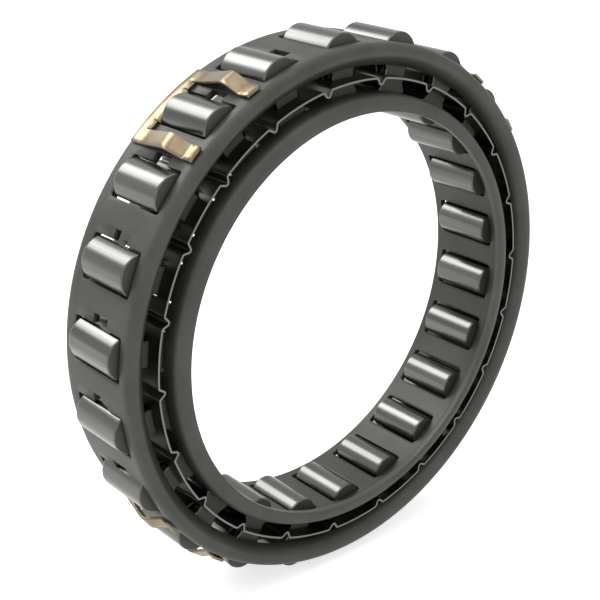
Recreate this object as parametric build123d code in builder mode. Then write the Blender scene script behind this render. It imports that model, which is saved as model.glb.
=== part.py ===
from build123d import *
from math import asin, atan2, cos, degrees, radians, sin
import os

os.makedirs("parts", exist_ok=True)

# The frame: the ring's axis lies along Y, the front is toward -Y, and the origin is the centre
# of the clutch. All sizes are in millimetres and all angles in degrees, anticlockwise from +X
# as seen from the front.

# The two races that the clutch works between, and the clutch as a whole
shaft_race_radius = 24.86
race_gap = 8.33
clutch_width = 13.5
sprag_count = 22
first_window_angle = 12.0

# Outer cage
outer_race_gap = 0.64
outer_sheet = 0.85
outer_front_setback = 0.8
outer_curl = 1.15
outer_front_bend = 0.6
outer_rear_bend = 0.3
outer_side_gap = 0.46
outer_end_gap = 1.1
notch_length = 2.7
notch_depth = 1.15
notch_shift = -0.2

# Inner cage
flange_race_gap = 0.09
inner_wall_lift = 1.16
inner_sheet = 0.8
inner_rear_setback = 1.4
inner_bend = 0.65
inner_side_gap = 0.75
inner_end_gap = 0.85
inner_window_shift = 0.1

# Sprags
sprag_length = 7.6
sprag_shift = -0.1
outer_grip = 0.56
inner_grip = 0.26
outer_head_width = 4.74
outer_head_depth = 1.45
inner_head_width = 4.1
inner_head_depth = 1.5
head_taper = 0.22
waist_width = 3.15
waist_start = 1.55
waist_length = 1.3
cam_offset = 0.35

# Ribbon spring
ribbon_lift = 3.74
ribbon_sheet = 0.22
ribbon_setback = 0.85
ribbon_side_gap = 0.26
ribbon_end_gap = 0.4
fold_depth = 0.95
fold_width = 1.3
tab_height = 1.4
tab_length = 5.6

# Drag clips
clip_windows = (7, 13, 18, 2)
clip_sheet = 0.36
clip_seat_gap = 0.02
clip_bar_width = 1.85
clip_arm_width = 1.9
clip_crest_height = 1.3
clip_crest_reach = 5.3
clip_foot_reach = 7.45
clip_toe_reach = 8.95
clip_toe_lift = 0.2
clip_lip_depth = 1.1
clip_lip_gap = 0.05
clip_lip_side_gap = 0.2

# Worked out from the sizes above
pitch = 360 / sprag_count
housing_race_radius = shaft_race_radius + race_gap
outer_cage_radius = housing_race_radius - outer_race_gap
outer_bore_radius = outer_cage_radius - outer_sheet
outer_front = outer_front_setback - clutch_width / 2
outer_rear = clutch_width / 2
outer_window_width = outer_head_width + outer_side_gap
outer_window_length = sprag_length + outer_end_gap
inner_front = -clutch_width / 2
inner_rear = clutch_width / 2 - inner_rear_setback
inner_bore_radius = shaft_race_radius + inner_wall_lift
inner_cage_radius = inner_bore_radius + inner_sheet
flange_radius = shaft_race_radius + flange_race_gap
inner_window_width = inner_head_width + inner_side_gap
inner_window_length = sprag_length + inner_end_gap
ribbon_radius = shaft_race_radius + ribbon_lift
ring_axis = Axis((0, 0, 0), (0, -1, 0))


def window_planes(radius, depth):
    """One plane on the middle of each window: x runs clockwise, y to the rear, z outward."""
    planes = []
    for number in range(sprag_count):
        angle = radians(first_window_angle + number * pitch)
        outward = (cos(angle), 0, sin(angle))
        clockwise = (sin(angle), 0, -cos(angle))
        centre = (radius * cos(angle), depth, radius * sin(angle))
        planes.append(Plane(origin=centre, x_dir=clockwise, z_dir=outward))
    return planes


def section_plane(angle):
    """The half plane through the ring's axis at an angle: x runs outward, y to the rear."""
    turn = radians(angle)
    return Plane(origin=(0, 0, 0), x_dir=(cos(turn), 0, sin(turn)), z_dir=(-sin(turn), 0, cos(turn)))


def across(width, radius):
    """The angle that a width takes up on a circle."""
    return degrees(2 * asin(width / 2 / radius))


# Outer cage: a drawn sheet ring with a turned-in front rim, one window for each sprag and a
# notch in the clockwise edge of each window
with BuildPart() as outer_cage:
    with BuildSketch(Plane.XY):
        with BuildLine():
            Polyline(
                (outer_cage_radius - outer_curl, outer_front),
                (outer_cage_radius, outer_front),
                (outer_cage_radius, outer_rear),
                (outer_bore_radius, outer_rear),
                (outer_bore_radius, outer_front + outer_sheet),
                (outer_cage_radius - outer_curl, outer_front + outer_sheet),
                close=True,
            )
        make_face()
        outside = vertices().group_by(Axis.X)[-1].sort_by(Axis.Y)
        chamfer(outside[0], outer_front_bend)
        outside = vertices().group_by(Axis.X)[-1].sort_by(Axis.Y)
        chamfer(outside[-1], outer_rear_bend)
    revolve(axis=Axis.Y)
    with BuildSketch(*window_planes(outer_cage_radius, 0)):
        Rectangle(outer_window_width, outer_window_length)
        with Locations((outer_window_width / 2, notch_shift)):
            Rectangle(2 * notch_depth, notch_length)
    extrude(amount=2 * outer_sheet, both=True, mode=Mode.SUBTRACT)
outer_cage.part.label = "outer_cage"
export_step(outer_cage.part, "parts/outer_cage.step")

# Inner cage: a drawn sheet ring whose front edge turns inward as a flange
with BuildPart() as inner_cage:
    with BuildSketch(Plane.XY):
        with BuildLine():
            Polyline(
                (flange_radius, inner_front),
                (inner_cage_radius, inner_front),
                (inner_cage_radius, inner_rear),
                (inner_bore_radius, inner_rear),
                (inner_bore_radius, inner_front + inner_sheet),
                (flange_radius, inner_front + inner_sheet),
                close=True,
            )
        make_face()
        outside = vertices().group_by(Axis.X)[-1].sort_by(Axis.Y)
        chamfer(outside[0], inner_bend)
    revolve(axis=Axis.Y)
    with BuildSketch(*window_planes(inner_cage_radius, inner_window_shift)):
        Rectangle(inner_window_width, inner_window_length)
    extrude(amount=2 * inner_sheet, both=True, mode=Mode.SUBTRACT)
inner_cage.part.label = "inner_cage"
export_step(inner_cage.part, "parts/inner_cage.step")

# Sprag, drawn at the top of the ring: two cams of unequal offset joined by a waist
outer_tip = housing_race_radius + outer_grip
inner_tip = shaft_race_radius - inner_grip
outer_shoulder = outer_tip - outer_head_depth
inner_shoulder = inner_tip + inner_head_depth
sprag_rear = sprag_shift + sprag_length / 2
waist_top = ribbon_radius + waist_length / 2
waist_bottom = ribbon_radius - waist_length / 2


def flank(side):
    """One side of the sprag from its outer to its inner shoulder; side is +1 or -1."""
    return Polyline(
        (side * outer_head_width / 2, outer_shoulder),
        (side * (outer_head_width / 2 - head_taper), waist_top + waist_start),
        (side * waist_width / 2, waist_top),
        (side * waist_width / 2, waist_bottom),
        (side * inner_head_width / 2, (waist_bottom + inner_shoulder) / 2),
        (side * inner_head_width / 2, inner_shoulder),
    )


with BuildPart() as sprag_blank:
    with BuildSketch(Plane.XZ.offset(-sprag_rear)):
        with BuildLine():
            right = flank(1)
            left = flank(-1)
            ThreePointArc(left @ 0, (cam_offset, outer_tip), right @ 0)
            ThreePointArc(left @ 1, (-cam_offset, inner_tip), right @ 1)
        make_face()
    extrude(amount=sprag_length)

for number in range(sprag_count):
    with BuildPart() as sprag:
        add(sprag_blank.part.rotate(ring_axis, first_window_angle + number * pitch - 90))
    sprag.part.label = f"sprag_{number + 1:02d}"
    export_step(sprag.part, f"parts/{sprag.part.label}.step")

# Ribbon spring: a thin strip around the ring with a window for each sprag's waist, a folded
# tab on both sides of it and a V fold halfway to the next
ribbon_width = clutch_width - 2 * ribbon_setback
fold_angle = across(fold_width, ribbon_radius)
ribbon_window_width = waist_width + 2 * ribbon_side_gap
ribbon_window_length = sprag_length + ribbon_end_gap
flank_lean = degrees(atan2(outer_head_width / 2 - head_taper - waist_width / 2, waist_start))
tab_foot = (ribbon_window_width + ribbon_sheet) / 2
tab_rise = tab_height * cos(radians(flank_lean))
tab_reach = tab_height * sin(radians(flank_lean))
with BuildPart() as ribbon_spring:
    with BuildSketch(Plane.XZ.offset(-ribbon_width / 2)):
        with BuildLine():
            for number in range(sprag_count):
                fold_centre = first_window_angle + (number - 0.5) * pitch
                land = CenterArc(
                    (0, 0), ribbon_radius, fold_centre + fold_angle / 2, pitch - fold_angle
                )
                next_fold = radians(fold_centre + pitch)
                bottom = ribbon_radius - fold_depth
                Polyline(
                    land @ 1,
                    (bottom * cos(next_fold), bottom * sin(next_fold)),
                    Vector(ribbon_radius, 0).rotate(Axis.Z, fold_centre + pitch + fold_angle / 2),
                )
        middle = make_face(mode=Mode.PRIVATE)
        offset(middle, amount=ribbon_sheet / 2, kind=Kind.INTERSECTION)
        offset(middle, amount=-ribbon_sheet / 2, kind=Kind.INTERSECTION, mode=Mode.SUBTRACT)
    extrude(amount=ribbon_width)
    with BuildSketch(*window_planes(ribbon_radius, 0)):
        Rectangle(ribbon_window_width, ribbon_window_length)
    extrude(amount=2 * ribbon_sheet, both=True, mode=Mode.SUBTRACT)
    with BuildSketch(Plane.XZ.offset(-tab_length / 2)):
        with PolarLocations(ribbon_radius, sprag_count, start_angle=first_window_angle):
            for side in (-1, 1):
                with Locations((tab_rise / 2, side * (tab_foot + tab_reach / 2))):
                    Rectangle(tab_height, ribbon_sheet, rotation=side * flank_lean)
    extrude(amount=tab_length)
ribbon_spring.part.label = "ribbon_spring"
export_step(ribbon_spring.part, "parts/ribbon_spring.step")

# Drag clip, drawn at the +X side of the ring: a bar across the rear land, a lip into the window
# and two sprung arms over the bars beside it
clip_seat = outer_cage_radius + clip_seat_gap
clip_bar_front = outer_window_length / 2 - clip_lip_gap - clip_sheet
clip_lip_width = outer_window_width - 2 * clip_lip_side_gap
lip_angle = across(clip_lip_width, outer_cage_radius)
arm_angle = across(clip_arm_width, outer_cage_radius)
bar_angle = pitch + arm_angle
arm_underside = [
    (clip_seat, clip_bar_front + clip_bar_width / 2),
    (clip_seat, clip_bar_front),
    (clip_seat + clip_crest_height, clip_bar_front - clip_crest_reach),
    (clip_seat, clip_bar_front - clip_foot_reach),
    (clip_seat + clip_toe_lift, clip_bar_front - clip_toe_reach),
]
arm_skin = [(radius + clip_sheet, depth) for radius, depth in reversed(arm_underside)]
with BuildPart() as clip_blank:
    with BuildSketch(section_plane(-bar_angle / 2)):
        with Locations((clip_seat, clip_bar_front)):
            Rectangle(clip_sheet, clip_bar_width, align=(Align.MIN, Align.MIN))
    revolve(axis=ring_axis, revolution_arc=bar_angle)
    with BuildSketch(section_plane(-lip_angle / 2)):
        with Locations((clip_seat + clip_sheet, clip_bar_front)):
            Rectangle(clip_lip_depth + clip_sheet, clip_sheet, align=(Align.MAX, Align.MIN))
    revolve(axis=ring_axis, revolution_arc=lip_angle)
    for arm_side in (-1, 1):
        with BuildSketch(section_plane((arm_side * pitch - arm_angle) / 2)):
            with BuildLine():
                Polyline(*arm_underside, *arm_skin, close=True)
            make_face()
        revolve(axis=ring_axis, revolution_arc=arm_angle)

for number, window in enumerate(clip_windows):
    with BuildPart() as drag_clip:
        add(clip_blank.part.rotate(ring_axis, first_window_angle + window * pitch))
    drag_clip.part.label = f"drag_clip_{number + 1}"
    export_step(drag_clip.part, f"parts/{drag_clip.part.label}.step")
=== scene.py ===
import math

import bmesh
import bpy
from mathutils import Matrix, Vector


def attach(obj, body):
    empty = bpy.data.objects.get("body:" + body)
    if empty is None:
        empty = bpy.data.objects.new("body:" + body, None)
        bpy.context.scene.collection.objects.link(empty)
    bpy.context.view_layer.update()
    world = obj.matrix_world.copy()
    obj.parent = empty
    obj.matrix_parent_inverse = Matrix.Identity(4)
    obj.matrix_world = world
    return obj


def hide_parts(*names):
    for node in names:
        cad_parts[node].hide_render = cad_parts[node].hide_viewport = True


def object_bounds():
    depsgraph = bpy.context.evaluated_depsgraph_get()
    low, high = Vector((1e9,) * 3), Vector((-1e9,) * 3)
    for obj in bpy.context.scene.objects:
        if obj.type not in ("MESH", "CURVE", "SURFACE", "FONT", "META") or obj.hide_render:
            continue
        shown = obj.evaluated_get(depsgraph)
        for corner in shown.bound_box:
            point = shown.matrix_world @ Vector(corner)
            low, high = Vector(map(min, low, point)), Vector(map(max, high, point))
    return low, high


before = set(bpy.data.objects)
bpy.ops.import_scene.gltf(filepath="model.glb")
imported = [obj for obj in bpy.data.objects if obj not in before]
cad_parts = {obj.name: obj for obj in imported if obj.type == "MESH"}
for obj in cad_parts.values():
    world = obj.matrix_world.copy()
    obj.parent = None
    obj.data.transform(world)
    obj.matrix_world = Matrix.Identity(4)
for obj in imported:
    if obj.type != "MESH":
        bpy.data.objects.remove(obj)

mm = 0.001
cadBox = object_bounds()

# The ring's axis lies along Y and its front faces -Y. Angles are in degrees, anticlockwise from +X as
# seen from the front. Lengths are in millimetres where nothing else is said.
ring = {
    "spragCount": 22,
    "firstWindow": 12.0,
    "pitch": 360 / 22,
}


def windowAngle(number):
    return ring["firstWindow"] + number * ring["pitch"]


def pitchAt(radius):
    # length of one pitch round the ring
    return math.radians(ring["pitch"]) * radius


def acrossAngle(width, radius):
    return math.degrees(width / radius)


def onRing(radius, angle, y):
    turn = math.radians(angle)
    return Vector((radius * math.cos(turn) * mm, y * mm, radius * math.sin(turn) * mm))


def windowEdge(place, half, corner, low):
    # y of a round-cornered window's front edge, at a place across it or beside it
    if abs(place) > half:
        return low + corner
    inset = max(0.0, abs(place) - (half - corner))
    return low + corner - math.sqrt(max(0.0, corner ** 2 - inset ** 2))


def arcPoints(centre, radius, start, end, steps):
    points = []
    for step in range(steps + 1):
        turn = math.radians(start + (end - start) * step / steps)
        points.append((centre[0] + radius * math.cos(turn), centre[1] + radius * math.sin(turn)))
    return points


def threePointArc(first, through, last, steps):
    a, b, c = (Vector(point) for point in (first, through, last))
    aa, bb, cc = a.length_squared, b.length_squared, c.length_squared
    scale = 2 * (a.x * (b.y - c.y) + b.x * (c.y - a.y) + c.x * (a.y - b.y))
    centre = Vector((
        (aa * (b.y - c.y) + bb * (c.y - a.y) + cc * (a.y - b.y)) / scale,
        (aa * (c.x - b.x) + bb * (a.x - c.x) + cc * (b.x - a.x)) / scale,
    ))
    spoke = a - centre
    sweep = -spoke.angle_signed(b - centre) - (b - centre).angle_signed(c - centre)
    turns = (sweep * step / steps for step in range(steps + 1))
    return [tuple(centre + Matrix.Rotation(turn, 2) @ spoke) for turn in turns]


def roundedPath(corners, radii, steps=6):
    # straight runs joined by tangent arcs, one radius for each inner corner
    points = [corners[0]]
    for index, radius in enumerate(radii):
        before, here, after = (Vector(corner) for corner in corners[index:index + 3])
        towardStart = (before - here).normalized()
        towardEnd = (after - here).normalized()
        half = towardStart.angle(towardEnd) / 2
        setBack = radius / math.tan(half)
        centre = here + (towardStart + towardEnd).normalized() * radius / math.sin(half)
        first = here + towardStart * setBack - centre
        last = here + towardEnd * setBack - centre
        sweep = first.angle_signed(last)
        for step in range(steps + 1):
            spoke = Matrix.Rotation(-sweep * step / steps, 2) @ first
            points.append(tuple(centre + spoke))
    points.append(corners[-1])
    return points


def finishMesh(name, bm, thickness=0.0, offset=-1.0, edge=0.0, segments=2, sharp=35.0):
    # drop loose vertices, give the sheet its thickness, round its edges and bake that into the mesh
    loose = [vert for vert in bm.verts if not vert.link_faces]
    bmesh.ops.delete(bm, geom=loose, context="VERTS")
    mesh = bpy.data.meshes.new(name)
    bm.to_mesh(mesh)
    bm.free()
    piece = bpy.data.objects.new(name, mesh)
    bpy.context.scene.collection.objects.link(piece)
    if thickness:
        solid = piece.modifiers.new("sheet", "SOLIDIFY")
        solid.thickness = thickness * mm
        solid.offset = offset
        solid.use_even_offset = True
    if edge:
        bevel = piece.modifiers.new("edges", "BEVEL")
        bevel.width = edge * mm
        bevel.segments = segments
        bevel.limit_method = "ANGLE"
        bevel.angle_limit = math.radians(sharp)
        bevel.harden_normals = True
    view = bpy.context.evaluated_depsgraph_get()
    baked = bpy.data.meshes.new_from_object(piece.evaluated_get(view))
    piece.modifiers.clear()
    piece.data = baked
    baked.name = name
    baked.shade_smooth()
    baked.set_sharp_from_angle(angle=math.radians(sharp))
    return piece


def place(piece, node, body, slot, material):
    piece.data.materials.clear()
    piece.data.materials.append(material)
    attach(piece, body)
    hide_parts(node)


def newMaterial(name):
    material = bpy.data.materials.new(name)
    material.use_nodes = True
    nodes = material.node_tree.nodes
    return material, nodes, material.node_tree.links, nodes["Principled BSDF"]


def noiseOf(nodes, links, scale, stretch=(1, 1, 1), detail=4.0, roughness=0.55):
    coords = nodes.new("ShaderNodeTexCoord")
    mapping = nodes.new("ShaderNodeMapping")
    mapping.inputs["Scale"].default_value = stretch
    noise = nodes.new("ShaderNodeTexNoise")
    noise.inputs["Scale"].default_value = scale
    noise.inputs["Detail"].default_value = detail
    noise.inputs["Roughness"].default_value = roughness
    links.new(coords.outputs["Object"], mapping.inputs["Vector"])
    links.new(mapping.outputs["Vector"], noise.inputs["Vector"])
    return noise.outputs["Fac"]


def rampOf(nodes, links, source, *stops):
    ramp = nodes.new("ShaderNodeValToRGB")
    for (position, colour), element in zip(stops, ramp.color_ramp.elements):
        element.position = position
        element.color = (*colour, 1)
    links.new(source, ramp.inputs["Fac"])
    return ramp.outputs["Color"]


def mixOf(nodes, links, factor, first, second):
    mix = nodes.new("ShaderNodeMix")
    mix.data_type = "RGBA"
    # a mix node has one A, B and Result for each kind of data; these are the colour ones
    colourA, colourB, colourResult = mix.inputs[6], mix.inputs[7], mix.outputs[2]
    links.new(factor, mix.inputs["Factor"])
    for value, socket in ((first, colourA), (second, colourB)):
        if isinstance(value, tuple):
            socket.default_value = (*value, 1)
        else:
            links.new(value, socket)
    return colourResult


def rangeOf(nodes, links, source, low, high, fromLow=0.0, fromHigh=1.0):
    spread = nodes.new("ShaderNodeMapRange")
    spread.inputs["From Min"].default_value = fromLow
    spread.inputs["From Max"].default_value = fromHigh
    spread.inputs["To Min"].default_value = low
    spread.inputs["To Max"].default_value = high
    links.new(source, spread.inputs["Value"])
    return spread.outputs["Result"]


def mathOf(nodes, links, operation, *values):
    maths = nodes.new("ShaderNodeMath")
    maths.operation = operation
    for value, socket in zip(values, maths.inputs):
        if isinstance(value, float):
            socket.default_value = value
        else:
            links.new(value, socket)
    return maths.outputs["Value"]


def edgeMask(nodes, links, reach, full, none):
    # 1 where a rounded normal parts from the true one, which is at the edges; the cage paints its edge
    # wear and a painted highlight there
    bevel = nodes.new("ShaderNodeBevel")
    bevel.samples = 6
    bevel.inputs["Radius"].default_value = reach * mm
    geometry = nodes.new("ShaderNodeNewGeometry")
    dot = nodes.new("ShaderNodeVectorMath")
    dot.operation = "DOT_PRODUCT"
    links.new(bevel.outputs["Normal"], dot.inputs[0])
    links.new(geometry.outputs["Normal"], dot.inputs[1])
    return rangeOf(nodes, links, dot.outputs["Value"], 0.0, 1.0, fromLow=none, fromHigh=full)


def facingAxis(nodes, links, none, full):
    # 1 on faces that look along the ring's axis, 0 on the ones around it
    coords = nodes.new("ShaderNodeTexCoord")
    split = nodes.new("ShaderNodeSeparateXYZ")
    links.new(coords.outputs["Normal"], split.inputs["Vector"])
    size = mathOf(nodes, links, "ABSOLUTE", split.outputs["Y"])
    return rangeOf(nodes, links, size, 0.0, 1.0, fromLow=none, fromHigh=full)


def seenDirectly(nodes, links):
    # 1 for rays from the camera and for what metal reflects, 0 for the light on the object
    path = nodes.new("ShaderNodeLightPath")
    seen = path.outputs["Is Camera Ray"]
    for kind in ("Is Glossy Ray", "Is Transmission Ray"):
        seen = mathOf(nodes, links, "MAXIMUM", seen, path.outputs[kind])
    return seen


def bumpOf(nodes, links, source, shader, distance, strength):
    bump = nodes.new("ShaderNodeBump")
    bump.inputs["Distance"].default_value = distance * mm
    bump.inputs["Strength"].default_value = strength
    links.new(source, bump.inputs["Height"])
    links.new(bump.outputs["Normal"], shader.inputs["Normal"])


cageFinish = {
    "dark": (0.038, 0.038, 0.033),
    "light": (0.062, 0.061, 0.053),
    "speck": (0.088, 0.085, 0.075),
    # lighter colour of the edges: part real wear, part painted highlight
    "edgeWearAndHighlight": (0.24, 0.235, 0.21),
    "metallic": 0.30,
    "roughness": (0.44, 0.60),
}


def cageSteel():
    material, nodes, links, shader = newMaterial("phosphated cage steel")
    shader.inputs["Metallic"].default_value = cageFinish["metallic"]
    cloud = noiseOf(nodes, links, scale=160, detail=5)
    grain = noiseOf(nodes, links, scale=2600, detail=3)
    coat = rampOf(nodes, links, cloud, (0.35, cageFinish["dark"]), (0.65, cageFinish["light"]))
    specks = rangeOf(nodes, links, grain, low=-0.25, high=0.65)
    coat = mixOf(nodes, links, specks, coat, cageFinish["speck"])
    patches = noiseOf(nodes, links, scale=700, detail=4)
    # the edges get a lighter colour: partly real edge wear, partly a painted highlight along the bends
    edges = edgeMask(nodes, links, reach=0.12, full=0.80, none=0.97)
    patchy = rangeOf(nodes, links, patches, low=0.1, high=1.3)
    wearAndHighlight = mathOf(nodes, links, "MULTIPLY", edges, patchy)
    colour = mixOf(nodes, links, wearAndHighlight, coat, cageFinish["edgeWearAndHighlight"])
    links.new(colour, shader.inputs["Base Color"])
    rough = rangeOf(nodes, links, grain, *cageFinish["roughness"])
    links.new(rough, shader.inputs["Roughness"])
    bumpOf(nodes, links, grain, shader, distance=0.02, strength=0.6)
    return material


spragFinish = {
    "dull": (0.088, 0.090, 0.083),
    "bright": (0.150, 0.154, 0.144),
    "metallic": 1.0,
    "roughness": (0.23, 0.29),
    "shadedEndFace": (0.085, 0.079, 0.070),  # the sheared ends are matt, and their colour is darkened as painted shade
    "endMetallic": 0.4,
    "endRoughness": 0.65,
}


def spragSteel():
    material, nodes, links, shader = newMaterial("ground sprag steel")
    streaks = noiseOf(nodes, links, scale=900, stretch=(1, 0.035, 1), detail=6)
    cloud = noiseOf(nodes, links, scale=240, detail=3)
    steel = rampOf(nodes, links, streaks, (0.3, spragFinish["dull"]), (0.7, spragFinish["bright"]))
    # faces along the axis get the dark end colour: a matt finish with painted shade
    atEnd = facingAxis(nodes, links, none=0.80, full=0.95)
    colour = mixOf(nodes, links, atEnd, steel, spragFinish["shadedEndFace"])
    links.new(colour, shader.inputs["Base Color"])
    rough = nodes.new("ShaderNodeMix")
    rough.inputs["B"].default_value = spragFinish["endRoughness"]
    links.new(atEnd, rough.inputs["Factor"])
    links.new(rangeOf(nodes, links, cloud, *spragFinish["roughness"]), rough.inputs["A"])
    links.new(rough.outputs["Result"], shader.inputs["Roughness"])
    metal = rangeOf(nodes, links, atEnd, low=spragFinish["metallic"], high=spragFinish["endMetallic"])
    links.new(metal, shader.inputs["Metallic"])
    bumpOf(nodes, links, streaks, shader, distance=0.004, strength=0.12)
    return material


ribbonFinish = {
    "dull": (0.055, 0.055, 0.050),
    "bright": (0.11, 0.11, 0.10),
    "cutEdge": (0.17, 0.17, 0.155),  # slit edges show bare steel
    "metallic": 1.0,
    "roughness": (0.28, 0.42),
}


def ribbonSteel():
    material, nodes, links, shader = newMaterial("blued ribbon strip")
    shader.inputs["Metallic"].default_value = ribbonFinish["metallic"]
    streaks = noiseOf(nodes, links, scale=700, stretch=(1, 0.2, 1), detail=4)
    steel = rampOf(nodes, links, streaks, (0.3, ribbonFinish["dull"]), (0.7, ribbonFinish["bright"]))
    atEdge = facingAxis(nodes, links, none=0.70, full=0.90)
    colour = mixOf(nodes, links, atEdge, steel, ribbonFinish["cutEdge"])
    links.new(colour, shader.inputs["Base Color"])
    rough = rangeOf(nodes, links, streaks, *ribbonFinish["roughness"])
    links.new(rough, shader.inputs["Roughness"])
    return material


clipFinish = {
    "dull": (0.165, 0.128, 0.080),
    "bright": (0.255, 0.206, 0.138),
    "metallic": 1.0,
    "roughness": (0.27, 0.38),
}


def clipMetal():
    material, nodes, links, shader = newMaterial("pale bronze clip")
    shader.inputs["Metallic"].default_value = clipFinish["metallic"]
    cloud = noiseOf(nodes, links, scale=380, detail=5)
    grain = noiseOf(nodes, links, scale=2200, detail=3)
    bronze = rampOf(nodes, links, cloud, (0.35, clipFinish["dull"]), (0.65, clipFinish["bright"]))
    links.new(bronze, shader.inputs["Base Color"])
    rough = rangeOf(nodes, links, grain, *clipFinish["roughness"])
    links.new(rough, shader.inputs["Roughness"])
    bumpOf(nodes, links, grain, shader, distance=0.004, strength=0.12)
    return material


cageMaterial = cageSteel()
spragMaterial = spragSteel()
ribbonMaterial = ribbonSteel()
clipMaterial = clipMetal()
print("materials made")

# A cage is a windowed ring of sheet. Its columns of vertices go round the ring, and the rows in each
# go from the front edge to the rear one. These are the numbers of steps along each stretch.
cageSteps = {
    "windowCorner": 4,
    "windowMiddle": 6,
    "land": 4,
    "wall": 3,
}


def cagePlaces(cage):
    # where the columns stand across one pitch, from the window's middle, clockwise positive
    half = cage["windowWidth"] / 2
    corner = cage["windowCorner"]
    landEnd = pitchAt(cage["radius"]) / 2
    notchEnd = half + cage["notchDepth"]
    corners = []
    for step in range(cageSteps["windowCorner"] + 1):
        turn = math.radians(90 * step / cageSteps["windowCorner"])
        corners.append(half - corner + corner * math.sin(turn))
    middles = cageSteps["windowMiddle"]
    clockwise = [corners[0] * step / middles for step in range(middles)] + corners
    anticlockwise = [-place for place in clockwise[1:]]
    lands = cageSteps["land"]
    if cage["notchDepth"]:
        clockwise.append(notchEnd)
    clockwise += [notchEnd + (landEnd - notchEnd) * step / lands for step in range(1, lands)]
    anticlockwise += [-(half + (landEnd - half) * step / lands) for step in range(1, lands + 1)]
    return sorted(set(clockwise + anticlockwise), reverse=True)


def cageRows(cage, place):
    # (radius, y) of each vertex in the column at that place, from front to rear
    low = cage["windowMiddle"] - cage["windowLength"] / 2
    high = cage["windowMiddle"] + cage["windowLength"] / 2
    lowY = windowEdge(place, cage["windowWidth"] / 2, cage["windowCorner"], low)
    highY = low + high - lowY
    wallFront = cage["frontProfile"][-1][1]
    wallRear = cage["rearProfile"][0][1]
    walls = cageSteps["wall"]
    levels = [wallFront + (lowY - wallFront) * step / walls for step in range(1, walls)]
    levels.append(lowY)
    levels.append(cage["notchMiddle"] - cage["notchLength"] / 2)
    levels.append(cage["notchMiddle"] + cage["notchLength"] / 2)
    levels.append(highY)
    levels += [highY + (wallRear - highY) * step / walls for step in range(1, walls)]
    return cage["frontProfile"] + [(cage["radius"], y) for y in levels] + cage["rearProfile"]


def cageMesh(name, cage):
    radius = cage["radius"]
    half = cage["windowWidth"] / 2
    landEnd = pitchAt(radius) / 2
    places = cagePlaces(cage)
    bm = bmesh.new()
    columns = []
    for number in range(ring["spragCount"]):
        for place in places:
            angle = windowAngle(number) - acrossAngle(place, radius)
            rows = [bm.verts.new(onRing(rowRadius, angle, y)) for rowRadius, y in cageRows(cage, place)]
            columns.append((place, rows))
    # the window takes three bands of faces from this row on, and the notch the middle one of them
    lowRow = len(cage["frontProfile"]) + cageSteps["wall"] - 1
    for index, (place, rows) in enumerate(columns):
        nextPlace, nextRows = columns[(index + 1) % len(columns)]
        between = landEnd if nextPlace > place else (place + nextPlace) / 2
        for row in range(len(rows) - 1):
            inWindow = abs(between) < half and lowRow <= row <= lowRow + 2
            inNotch = half < between < half + cage["notchDepth"] and row == lowRow + 1
            if not (inWindow or inNotch):
                bm.faces.new((rows[row], nextRows[row], nextRows[row + 1], rows[row + 1]))
    return finishMesh(name, bm, thickness=cage["sheet"], offset=1.0, edge=cage["edge"])


outerCage = {
    "radius": 32.55,  # of the outer skin; the sheet is thickened inward
    "sheet": 0.85,
    "front": -5.95,
    "rear": 6.75,
    "flange": 29.9,  # inner edge of the dished front flange
    "flangeDish": 1.35,  # how far that edge lies behind the front
    "crest": 31.15,
    "crestRound": 0.8,  # its arc has to end before the front bend starts
    "frontBend": 0.95,
    "frontSteps": 7,
    "rearBend": 0.9,
    "rearTurn": 80,  # degrees
    "rearSteps": 4,
    "windowWidth": 5.2,
    "windowLength": 8.7,
    "windowMiddle": 0.0,
    "windowCorner": 0.35,
    "notchDepth": 1.15,
    "notchLength": 2.7,
    "notchMiddle": -0.2,
    "edge": 0.07,
}


def outerProfiles(cage):
    # (radius, y) from the flange's inner edge to the wall, and from the wall round the rear bend
    corners = [
        (cage["flange"], cage["front"] + cage["flangeDish"]),
        (cage["crest"], cage["front"]),
        (cage["radius"], cage["front"]),
        (cage["radius"], cage["front"] + 2 * cage["frontBend"]),
    ]
    bends = [cage["crestRound"], cage["frontBend"]]
    frontRows = roundedPath(corners, bends, steps=cage["frontSteps"])[:-1]
    bend = cage["rearBend"]
    centre = (cage["radius"] - bend, cage["rear"] - bend)
    rearRows = arcPoints(centre, bend, 0, cage["rearTurn"], steps=cage["rearSteps"])
    return frontRows, rearRows


outerCage["frontProfile"], outerCage["rearProfile"] = outerProfiles(outerCage)
outerShell = cageMesh("outerCageShell", outerCage)
place(outerShell, "outer_cage", "outer_cage", "cage_steel", cageMaterial)
print("outer cage made")

innerCage = {
    "radius": 26.82,  # of the outer skin; the sheet is thickened inward
    "sheet": 0.8,
    "front": -6.75,
    "rear": 5.35,
    "rearStrip": 0.4,  # the last band of faces at the plain rear edge
    "flange": 24.95,
    "frontBend": 1.1,
    "frontSteps": 7,
    "windowWidth": 4.85,
    "windowLength": 8.45,
    "windowMiddle": 0.1,
    "windowCorner": 0.35,
    "notchDepth": 0.0,  # no notch, only the two rows of vertices that one would need
    "notchLength": 2.0,
    "notchMiddle": 0.0,
    "edge": 0.07,
}


def innerProfiles(cage):
    # (radius, y) from the flange's inner edge to the wall, and along the plain rear edge
    bend = cage["frontBend"]
    centre = (cage["radius"] - bend, cage["front"] + bend)
    frontRows = [(cage["flange"], cage["front"])]
    frontRows += arcPoints(centre, bend, -90, 0, steps=cage["frontSteps"])
    rearRows = [(cage["radius"], cage["rear"] - cage["rearStrip"]), (cage["radius"], cage["rear"])]
    return frontRows, rearRows


innerCage["frontProfile"], innerCage["rearProfile"] = innerProfiles(innerCage)
innerShell = cageMesh("innerCageShell", innerCage)
place(innerShell, "inner_cage", "inner_cage", "cage_steel", cageMaterial)
print("inner cage made")

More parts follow.
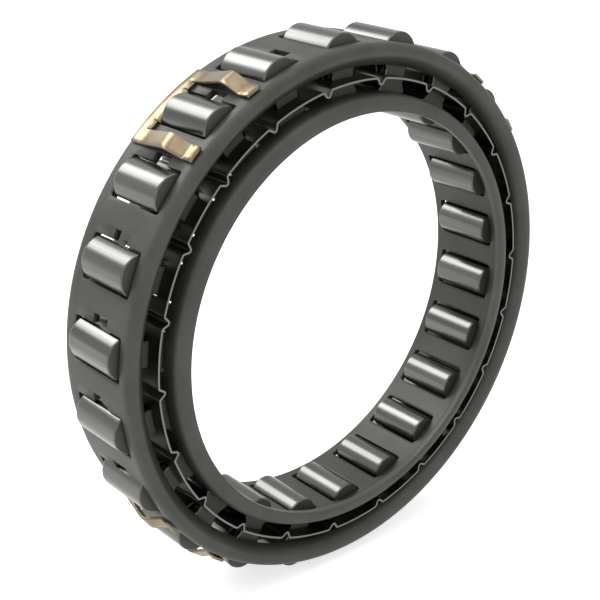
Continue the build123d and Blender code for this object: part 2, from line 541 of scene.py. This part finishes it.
sprag = {
    "outerTip": 33.75,
    "innerTip": 24.60,
    "outerShoulder": 32.30,
    "innerShoulder": 26.10,
    "outerWidth": 4.74,
    "innerWidth": 4.10,
    "neckWidth": 4.30,
    "neckRadius": 30.80,
    "waistWidth": 3.15,
    "waistTop": 29.25,
    "waistBottom": 27.95,
    "camOffset": 0.35,
    "camSteps": 24,
    "round": 0.35,
    "rear": 3.70,
    "length": 7.60,
    "bevel": 0.13,
    "bevelMiddle": 0.3,  # share of the bevel left at its middle loop
    "supportLoop": 0.12,
    "sharp": 50.0,  # degrees
}


def spragOutline(s):
    # (clockwise, radius) at the top of the ring, from the left shoulder over the head and round
    flankCorners = [
        (s["outerWidth"] / 2, s["outerShoulder"]),
        (s["neckWidth"] / 2, s["neckRadius"]),
        (s["waistWidth"] / 2, s["waistTop"]),
        (s["waistWidth"] / 2, s["waistBottom"]),
        (s["innerWidth"] / 2, (s["waistBottom"] + s["innerShoulder"]) / 2),
        (s["innerWidth"] / 2, s["innerShoulder"]),
    ]
    right = roundedPath(flankCorners, [s["round"]] * (len(flankCorners) - 2))
    left = [(-x, radius) for x, radius in reversed(right)]
    head = threePointArc(left[-1], (s["camOffset"], s["outerTip"]), right[0], s["camSteps"])
    foot = threePointArc(right[-1], (-s["camOffset"], s["innerTip"]), left[0], s["camSteps"])
    return head[1:-1] + right + foot[1:-1] + left


def spragSections(s):
    # (inset, y) of the outlines from the rear end to the front one
    bevel = s["bevel"]
    middle = bevel * s["bevelMiddle"]
    # the support loop beside each bevel keeps the cams' shading straight along their length
    ends = ((bevel, 0), (middle, middle), (0, bevel), (0, bevel + s["supportLoop"]))
    front = s["rear"] - s["length"]
    sections = [(inset, s["rear"] - depth) for inset, depth in ends]
    return sections + [(inset, front + depth) for inset, depth in reversed(ends)]


def spragMesh(name, angle, s):
    outline = spragOutline(s)
    count = len(outline)
    turn = math.radians(angle)
    outward = Vector((math.cos(turn), 0, math.sin(turn)))
    clockwise = Vector((math.sin(turn), 0, -math.cos(turn)))
    bm = bmesh.new()
    loops = []
    for inset, y in spragSections(s):
        loop = []
        for index, (x, radius) in enumerate(outline):
            before, after = outline[index - 1], outline[(index + 1) % count]
            along = Vector((after[0] - before[0], after[1] - before[1])).normalized()
            x, radius = x + along.y * inset, radius - along.x * inset
            spot = outward * radius + clockwise * x + Vector((0, y, 0))
            loop.append(bm.verts.new(spot * mm))
        loops.append(loop)
    for first, second in zip(loops, loops[1:]):
        for index in range(count):
            after = (index + 1) % count
            bm.faces.new((first[index], first[after], second[after], second[index]))
    bm.faces.new(loops[0])
    bm.faces.new(list(reversed(loops[-1])))
    return finishMesh(name, bm, sharp=s["sharp"])


for number in range(ring["spragCount"]):
    nodeName = f"sprag_{number + 1:02d}"
    piece = spragMesh(f"spragBody{number + 1:02d}", windowAngle(number), sprag)
    place(piece, nodeName, nodeName, "sprag_steel", spragMaterial)
print("sprags made")

ribbon = {
    "radius": 28.6,  # of the sheet's middle
    "sheet": 0.22,
    "width": 11.8,
    "windowWidth": 3.67,
    "windowLength": 8.0,
    "windowCorner": 0.35,
    "windowSteps": 3,
    "foldWidth": 1.3,
    "foldDepth": 0.95,
    "foldRound": 0.3,
    "foldSteps": 3,
    "footMargin": 0.25,  # flat strip kept beside the fold's feet
    "footShare": 0.7,  # the feet's rounding as a share of the fold's
    "tabHeight": 1.4,
    "tabSteps": 2,
    "tabLength": 5.6,
    "tabLean": 20.4,  # degrees
    "sharp": 50.0,  # degrees
}


def ribbonColumns(strip):
    # (anticlockwise place, radius) from one window's middle to just before the next one's
    half = strip["windowWidth"] / 2
    corner = strip["windowCorner"]
    radius = strip["radius"]
    pitchWidth = pitchAt(radius)
    steps = strip["windowSteps"]
    flat = [(half - corner) * step / steps for step in range(steps)]
    for step in range(steps + 1):
        flat.append(half - corner + corner * math.sin(math.radians(90 * step / steps)))
    foldHalf = strip["foldWidth"] / 2
    margin = strip["footMargin"]
    flat.append(half + (pitchWidth / 2 - foldHalf - margin - half) / 2)
    footRound = strip["foldRound"] * strip["footShare"]
    corners = [
        (-foldHalf - margin, 0),
        (-foldHalf, 0),
        (0, -strip["foldDepth"]),
        (foldHalf, 0),
        (foldHalf + margin, 0),
    ]
    bends = [footRound, strip["foldRound"], footRound]
    fold = roundedPath(corners, bends, steps=strip["foldSteps"])
    columns = [(place, radius) for place in flat]
    columns += [(pitchWidth / 2 + x, radius + depth) for x, depth in fold]
    columns += [(pitchWidth - place, radius) for place in reversed(flat[1:])]
    return columns


def ribbonMesh(name, strip):
    half = strip["windowWidth"] / 2
    widthHalf = strip["width"] / 2
    tabHalf = strip["tabLength"] / 2
    pitchWidth = pitchAt(strip["radius"])
    low = -strip["windowLength"] / 2
    columns = ribbonColumns(strip)
    bm = bmesh.new()
    loops = []
    for number in range(ring["spragCount"]):
        for place, radius in columns:
            fromWindow = min(place, pitchWidth - place)
            lowY = windowEdge(fromWindow, half, strip["windowCorner"], low)
            levels = (-widthHalf, lowY, -tabHalf, tabHalf, -lowY, widthHalf)
            angle = windowAngle(number) + acrossAngle(place, strip["radius"])
            rows = [bm.verts.new(onRing(radius, angle, y)) for y in levels]
            loops.append((fromWindow, angle, rows))
    followers = loops[1:] + loops[:1]
    for (fromWindow, _, rows), (nextFrom, _, nextRows) in zip(loops, followers):
        inWindow = (fromWindow + nextFrom) / 2 < half
        for row in range(len(rows) - 1):
            # the first and the last band run past the window
            if not inWindow or row in (0, len(rows) - 2):
                bm.faces.new((rows[row], rows[row + 1], nextRows[row + 1], nextRows[row]))
    # a tab leans outward along the sprag's flank at each side of the window
    lean = math.radians(strip["tabLean"])
    nearly = 1e-6
    for (fromWindow, angle, rows), (nextFrom, _, _) in zip(loops, followers):
        if abs(fromWindow - half) > nearly:
            continue
        side = 1 if nextFrom > fromWindow else -1
        foot = rows[2], rows[3]
        for step in range(1, strip["tabSteps"] + 1):
            rise = strip["tabHeight"] * step / strip["tabSteps"]
            radius = strip["radius"] + rise * math.cos(lean)
            shift = acrossAngle(rise * math.sin(lean), strip["radius"]) * side
            tip = [bm.verts.new(onRing(radius, angle + shift, y)) for y in (-tabHalf, tabHalf)]
            bm.faces.new((foot[0], foot[1], tip[1], tip[0]))
            foot = tip
    return finishMesh(name, bm, thickness=strip["sheet"], offset=0.0, sharp=strip["sharp"])


ribbonStrip = ribbonMesh("ribbonStrip", ribbon)
place(ribbonStrip, "ribbon_spring", "ribbon_spring", "spring_steel", ribbonMaterial)
print("ribbon spring made")

clip = {
    "windows": (7, 13, 18, 2),  # the windows that the four clips straddle
    "seat": 32.57,
    "sheet": 0.36,
    "span": 19.71,  # degrees
    "barFront": 3.94,
    "barWidth": 1.85,
    "rootFlat": 0.6,
    "armSpread": 8.18,  # degrees
    "armWidth": 1.9,
    "armSteps": 4,
    "crestHeight": 1.3,
    "crestReach": 5.3,
    "footReach": 7.45,
    "toeReach": 8.95,
    "toeLift": 0.2,
    "bends": (3.0, 1.9, 0.8),
    "bendSteps": 7,
    "lipDepth": 1.1,
    "lipWidth": 4.8,
    "lipBend": 0.42,
    "lipSteps": 3,
    "slit": 0.15,  # degrees of relief beside the lip and the arms
    "edge": 0.06,
}


def clipColumns(c):
    # (degrees from the middle, kind): each column belongs to the lip, the plain bar or an arm
    steps = c["armSteps"]
    lipEnd = acrossAngle(c["lipWidth"], c["seat"]) / 2
    armStart = c["armSpread"] - acrossAngle(c["armWidth"], c["seat"]) / 2
    armEnd = c["span"] / 2
    right = [(lipEnd * step / steps, "lip") for step in range(steps + 1)]
    right += [(lipEnd + c["slit"], "bar"), (armStart - c["slit"], "bar")]
    right += [(armStart + (armEnd - armStart) * step / steps, "arm") for step in range(steps + 1)]
    return [(-column, kind) for column, kind in reversed(right[1:])] + right


def clipMesh(name, angle, c):
    skin = c["seat"] + c["sheet"]  # the outer one; the sheet is thickened inward
    front, bend = c["barFront"], c["lipBend"]
    root = front + c["rootFlat"]
    rear = front + c["barWidth"]
    corners = [
        (root, skin),
        (front, skin),
        (front - c["crestReach"], skin + c["crestHeight"]),
        (front - c["footReach"], skin),
        (front - c["toeReach"], skin + c["toeLift"]),
    ]
    arm = roundedPath(corners, c["bends"], steps=c["bendSteps"])
    # the lip goes down into the window behind the sprag
    lip = []
    for step in range(1, c["lipSteps"] + 1):
        turn = math.radians(90 * step / c["lipSteps"])
        lip.append((front + bend * (1 - math.sin(turn)), skin - bend * (1 - math.cos(turn))))
    lip.append((front, c["seat"] - c["lipDepth"]))

    bm = bmesh.new()
    grid = []
    for column, kind in clipColumns(c):
        edge = front + (bend if kind == "lip" else 0)
        levels = (rear, (rear + root) / 2, root, edge)
        rows = [bm.verts.new(onRing(skin, angle + column, y)) for y in levels]
        grid.append((column, kind, rows))

    def strip(path, nextPath):
        for k in range(len(path) - 1):
            bm.faces.new((path[k], nextPath[k], nextPath[k + 1], path[k + 1]))

    for (_, kind, rows), (_, nextKind, nextRows) in zip(grid, grid[1:]):
        # the front band stays open at the slits, and an arm has faces of its own there
        if kind != nextKind or kind == "arm":
            rows, nextRows = rows[:-1], nextRows[:-1]
        strip(rows, nextRows)
    armPaths = {}
    lipPaths = {}
    for index, (column, kind, rows) in enumerate(grid):
        if kind == "arm":
            path = [bm.verts.new(onRing(radius, angle + column, y)) for y, radius in arm[1:]]
            armPaths[index] = [rows[2]] + path
        if kind == "lip":
            path = [bm.verts.new(onRing(radius, angle + column, y)) for y, radius in lip]
            lipPaths[index] = [rows[3]] + path
    for paths in (armPaths, lipPaths):
        for index, path in paths.items():
            if index + 1 in paths:
                strip(path, paths[index + 1])
    return finishMesh(name, bm, thickness=c["sheet"], edge=c["edge"])


for number, window in enumerate(clip["windows"]):
    piece = clipMesh(f"clipStrip{number + 1}", windowAngle(window), clip)
    place(piece, f"drag_clip_{number + 1}", "outer_cage", "clip_metal", clipMaterial)
print("drag clips made")

# camera where the photograph was taken from
camera = {
    "lens": 75.41,
    "sensor": 36,
    "clipStart": 0.005,  # metres
    "azimuth": -41.61,
    "elevation": 21.74,
    "roll": 1.85,
    "distance": 154.83,
    "shiftRight": -2.457,
    "shiftUp": 0.116,
    "aimForward": 0.60,
}


def addCamera(c):
    az, el, roll = (math.radians(c[key]) for key in ("azimuth", "elevation", "roll"))
    back = Vector((math.sin(az) * math.cos(el), -math.cos(az) * math.cos(el), math.sin(el)))
    level = (-back).cross(Vector((0, 0, 1))).normalized()
    upright = level.cross(-back)
    right = level * math.cos(roll) + upright * math.sin(roll)
    up = upright * math.cos(roll) - level * math.sin(roll)
    aim = Vector((0, c["aimForward"], 0))
    spot = back * c["distance"] + right * c["shiftRight"] + up * c["shiftUp"] + aim
    data = bpy.data.cameras.new("camera")
    data.lens = c["lens"]
    data.sensor_width = c["sensor"]
    data.clip_start = c["clipStart"]
    eye = bpy.data.objects.new("camera", data)
    turned = Matrix((right, up, back)).transposed().to_4x4()
    eye.matrix_world = Matrix.Translation(spot * mm) @ turned
    bpy.context.scene.collection.objects.link(eye)
    bpy.context.scene.camera = eye


addCamera(camera)

# soft studio light, in metres
studio = {
    "floorSize": 3.0,
    "floorDrop": 0.0001,
    "floorColour": (0.86, 0.86, 0.86),
    "floorRoughness": 0.9,
    "floorGlow": 0.66,
    "roomColour": (0.335, 0.34, 0.335),
    "backdrop": (1.0, 1.0, 1.0),
    "lamps": (
        # name, place, size, power (W)
        ("rear softbox", (-0.12, 0.34, 0.33), 0.26, 1.5),
        ("top softbox", (-0.10, -0.10, 0.42), 0.50, 0.95),
        ("left softbox", (-0.45, -0.22, 0.16), 0.30, 0.12),
        ("front softbox", (0.02, -0.52, 0.14), 0.30, 0.3),
    ),
}


def addLamp(name, spot, size, power):
    data = bpy.data.lights.new(name, "AREA")
    data.shape = "SQUARE"
    data.size = size
    data.energy = power
    lamp = bpy.data.objects.new(name, data)
    lamp.location = spot
    lamp.rotation_euler = (-Vector(spot)).to_track_quat("-Z", "Y").to_euler()
    bpy.context.scene.collection.objects.link(lamp)


def addFloor(s, height):
    bm = bmesh.new()
    half = s["floorSize"] / 2
    corners = ((-half, -half), (half, -half), (half, half), (-half, half))
    bm.faces.new([bm.verts.new((x, y, height)) for x, y in corners])
    mesh = bpy.data.meshes.new("floor")
    bm.to_mesh(mesh)
    bm.free()
    floor = bpy.data.objects.new("floor", mesh)
    bpy.context.scene.collection.objects.link(floor)
    material, nodes, links, shader = newMaterial("pale floor")
    shader.inputs["Base Color"].default_value = (*s["floorColour"], 1)
    shader.inputs["Roughness"].default_value = s["floorRoughness"]
    shader.inputs["Emission Color"].default_value = (1, 1, 1, 1)
    glow = mathOf(nodes, links, "MULTIPLY", seenDirectly(nodes, links), s["floorGlow"])
    links.new(glow, shader.inputs["Emission Strength"])
    mesh.materials.append(material)


def addWorld(s):
    world = bpy.data.worlds.new("room")
    bpy.context.scene.world = world
    world.use_nodes = True
    nodes, links = world.node_tree.nodes, world.node_tree.links
    background = nodes["Background"]
    background.inputs["Strength"].default_value = 1.0
    colour = mixOf(nodes, links, seenDirectly(nodes, links), s["roomColour"], s["backdrop"])
    links.new(colour, background.inputs["Color"])


addFloor(studio, cadBox[0][2] - studio["floorDrop"])
addWorld(studio)
for lamp in studio["lamps"]:
    addLamp(*lamp)
bpy.context.scene.view_settings.view_transform = "Standard"
print("camera, floor and lights placed")
